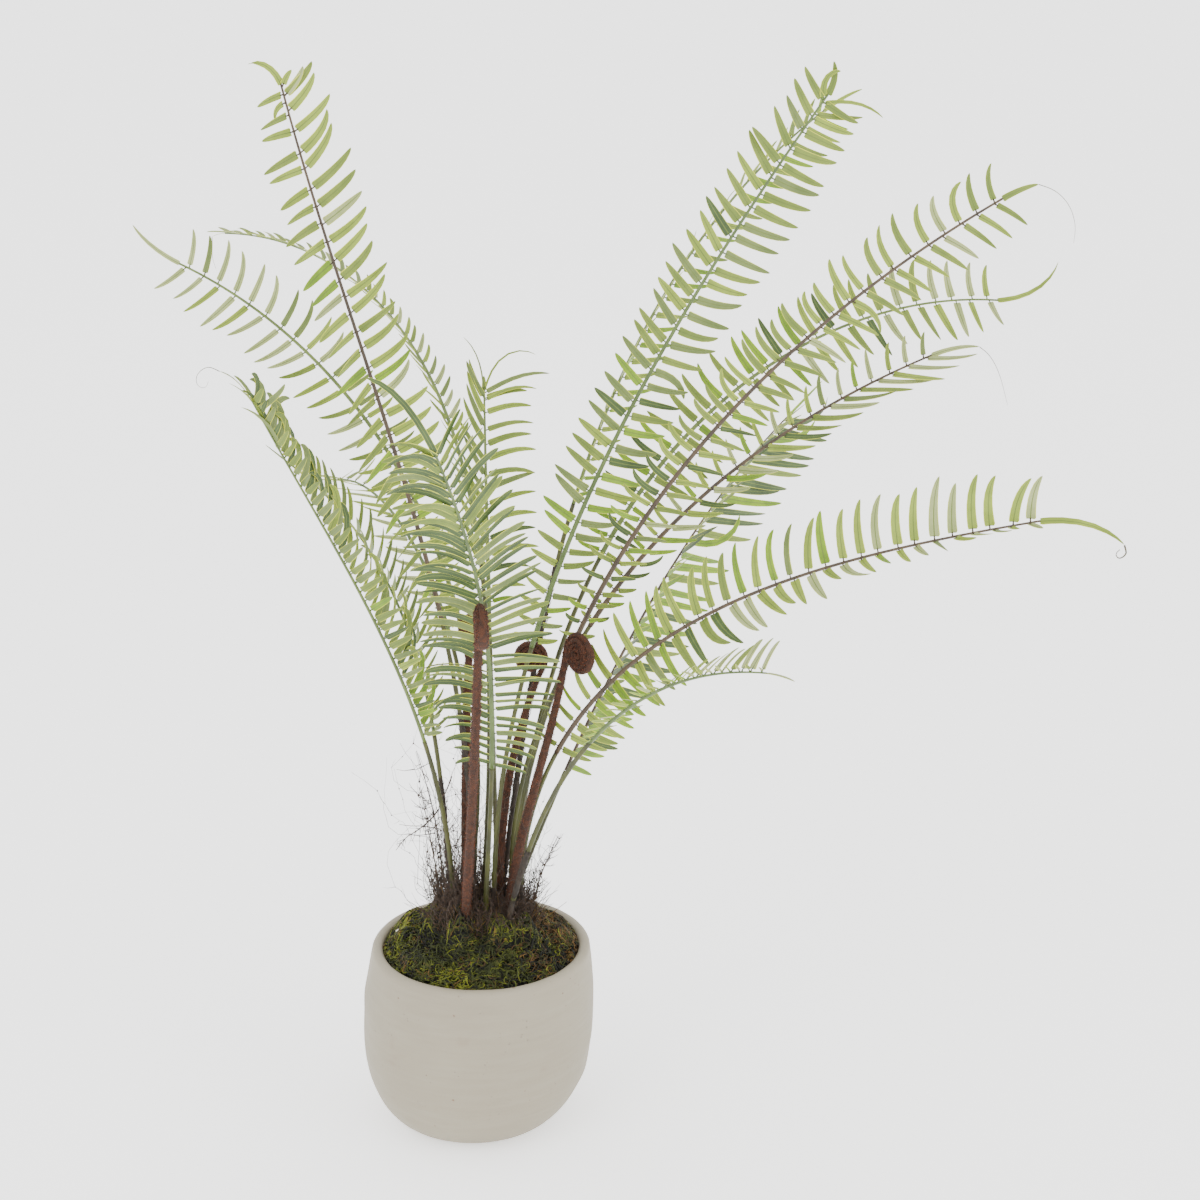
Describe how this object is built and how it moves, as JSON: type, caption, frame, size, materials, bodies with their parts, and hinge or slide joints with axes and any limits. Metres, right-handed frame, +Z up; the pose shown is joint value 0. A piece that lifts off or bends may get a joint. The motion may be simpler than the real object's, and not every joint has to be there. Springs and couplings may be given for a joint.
{
  "type": "artificial potted fern",
  "caption": "Artificial sword fern: long fronds of narrow leaflets, furry coiled shoots and dry roots rise from a moss-filled rounded stoneware pot that stands free on its flat foot",
  "frame": {"origin": "centre of the pot's flat underside", "axes": "+Z is up, +X is to the right as seen from the front, +Y is away from the viewer"},
  "size_m": [0.6996, 0.6462, 0.8491],
  "materials": {
    "pot": "matte, slightly pitted stoneware",
    "planting_block": "matte",
    "moss": "matte, fibrous",
    "roots": "matte, fibrous",
    "stem": "satin",
    "frond": "satin",
    "crozier": "flocked"
  },
  "bodies": {
    "root": {"pot": "pot", "planting_block": "planting_block", "moss_bed": "moss", "root_crown": "roots", "stem_tall_left": "stem", "stem_centre_front": "stem", "stem_tall_right": "stem", "stem_right_high": "stem", "stem_right_low_long": "stem", "stem_low_left_outer": "stem", "stem_upper_left": "stem", "stem_right_mid": "stem", "stem_tall_right_behind": "stem", "stem_right_lowest": "stem", "stem_low_left_inner": "stem", "stem_right_mid_high": "stem", "stem_right_low_steep": "stem", "stem_centre_back": "stem", "stem_back_left": "stem", "stem_back_left_short": "stem", "frond_tall_left": "frond", "frond_centre_front": "frond", "frond_tall_right": "frond", "frond_right_high": "frond", "frond_right_low_long": "frond", "frond_low_left_outer": "frond", "frond_upper_left": "frond", "frond_right_mid": "frond", "frond_tall_right_behind": "frond", "frond_right_lowest": "frond", "frond_low_left_inner": "frond", "frond_right_mid_high": "frond", "frond_right_low_steep": "frond", "frond_centre_back": "frond", "frond_back_left": "frond", "frond_back_left_short": "frond", "crozier_front": "crozier", "crozier_behind_left": "crozier", "crozier_centre": "crozier", "crozier_right": "crozier", "root_sprig_left_outer": "roots", "root_sprig_left_inner": "roots", "root_sprig_right": "roots", "root_sprig_back": "roots"}
  },
  "joints": []
}
